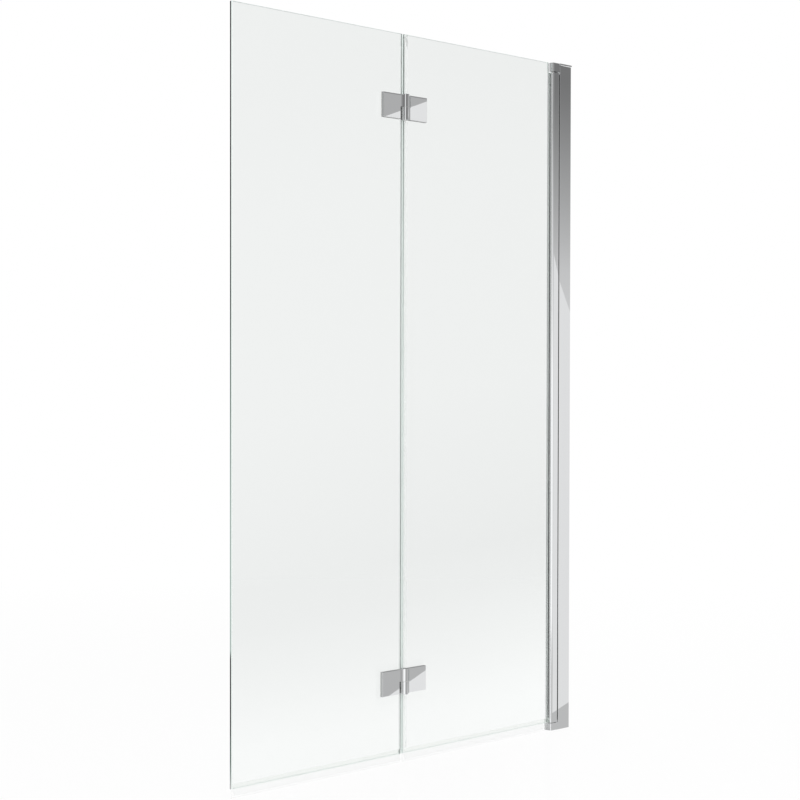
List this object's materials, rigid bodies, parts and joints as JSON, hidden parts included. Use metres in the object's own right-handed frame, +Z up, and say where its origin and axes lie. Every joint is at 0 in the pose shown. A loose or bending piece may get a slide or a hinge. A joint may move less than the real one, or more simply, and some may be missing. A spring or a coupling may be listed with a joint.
{
  "type": "bath screen",
  "caption": "Folding frameless bath screen: glass panes joined by barrel hinges, swinging on a profile in a telescoping wall channel, with clear edge seals.",
  "frame": {"origin": "where the wall plane, the bath rim and the middle plane of the glass meet", "axes": "+Z up, +X into the wall, so the screen runs along -X; -Y is the bath side, which carries the hinge barrels"},
  "size_m": [1, 0.0299, 1.4005],
  "materials": {
    "bright_aluminium": "polished",
    "mill_aluminium": "satin",
    "chrome_plate": "polished",
    "stainless_steel": "satin",
    "toughened_glass": "clear",
    "clear_pvc": "clear",
    "grey_pvc": "matte",
    "dark_rubber": "matte",
    "gasket_rubber": "matte",
    "acetal": "matte",
    "cover_plastic": "gloss"
  },
  "bodies": {
    "wall_frame": {"wall_profile": "mill_aluminium", "adjusting_profile": "bright_aluminium", "pivot_lip_seal": "dark_rubber", "bottom_pivot_block": "chrome_plate", "top_pivot_block": "chrome_plate", "bottom_block_screws": "stainless_steel", "top_block_screws": "stainless_steel", "bottom_pivot_pin": "stainless_steel", "top_pivot_pin": "stainless_steel", "bottom_thrust_washer": "acetal", "profile_top_cap": "chrome_plate", "adjusting_screws": "stainless_steel", "adjusting_screw_caps": "cover_plastic"},
    "inner_panel": {"rotating_profile": "bright_aluminium", "bottom_pivot_bearing": "acetal", "top_pivot_bearing": "acetal", "inner_glass": "toughened_glass", "glazing_tape": "clear_pvc", "glazing_wedge": "grey_pvc", "joint_seal": "clear_pvc", "inner_bottom_seal": "clear_pvc", "upper_hinge_inner_leaf": "chrome_plate", "upper_hinge_inner_gasket": "gasket_rubber", "upper_hinge_inner_sleeves": "acetal", "upper_hinge_inner_screws": "stainless_steel", "upper_hinge_bush": "acetal", "lower_hinge_inner_leaf": "chrome_plate", "lower_hinge_inner_gasket": "gasket_rubber", "lower_hinge_inner_sleeves": "acetal", "lower_hinge_inner_screws": "stainless_steel", "lower_hinge_bush": "acetal"},
    "outer_panel": {"outer_glass": "toughened_glass", "outer_bottom_seal": "clear_pvc", "upper_hinge_outer_leaf": "chrome_plate", "upper_hinge_outer_gasket": "gasket_rubber", "upper_hinge_outer_sleeves": "acetal", "upper_hinge_outer_screws": "stainless_steel", "upper_hinge_pin": "stainless_steel", "lower_hinge_outer_leaf": "chrome_plate", "lower_hinge_outer_gasket": "gasket_rubber", "lower_hinge_outer_sleeves": "acetal", "lower_hinge_outer_screws": "stainless_steel", "lower_hinge_pin": "stainless_steel"}
  },
  "joints": [
    {"name": "wall_pivot", "type": "hinge", "parent": "wall_frame", "child": "inner_panel", "pos_m": [-0.0496, 0, 0.7], "axis": [0, 0, 1], "range_deg": [-90, 90]},
    {"name": "panel_fold", "type": "hinge", "parent": "inner_panel", "child": "outer_panel", "pos_m": [-0.539, -0.01, 0.7], "axis": [0, 0, 1], "range_deg": [0, 180]}
  ]
}
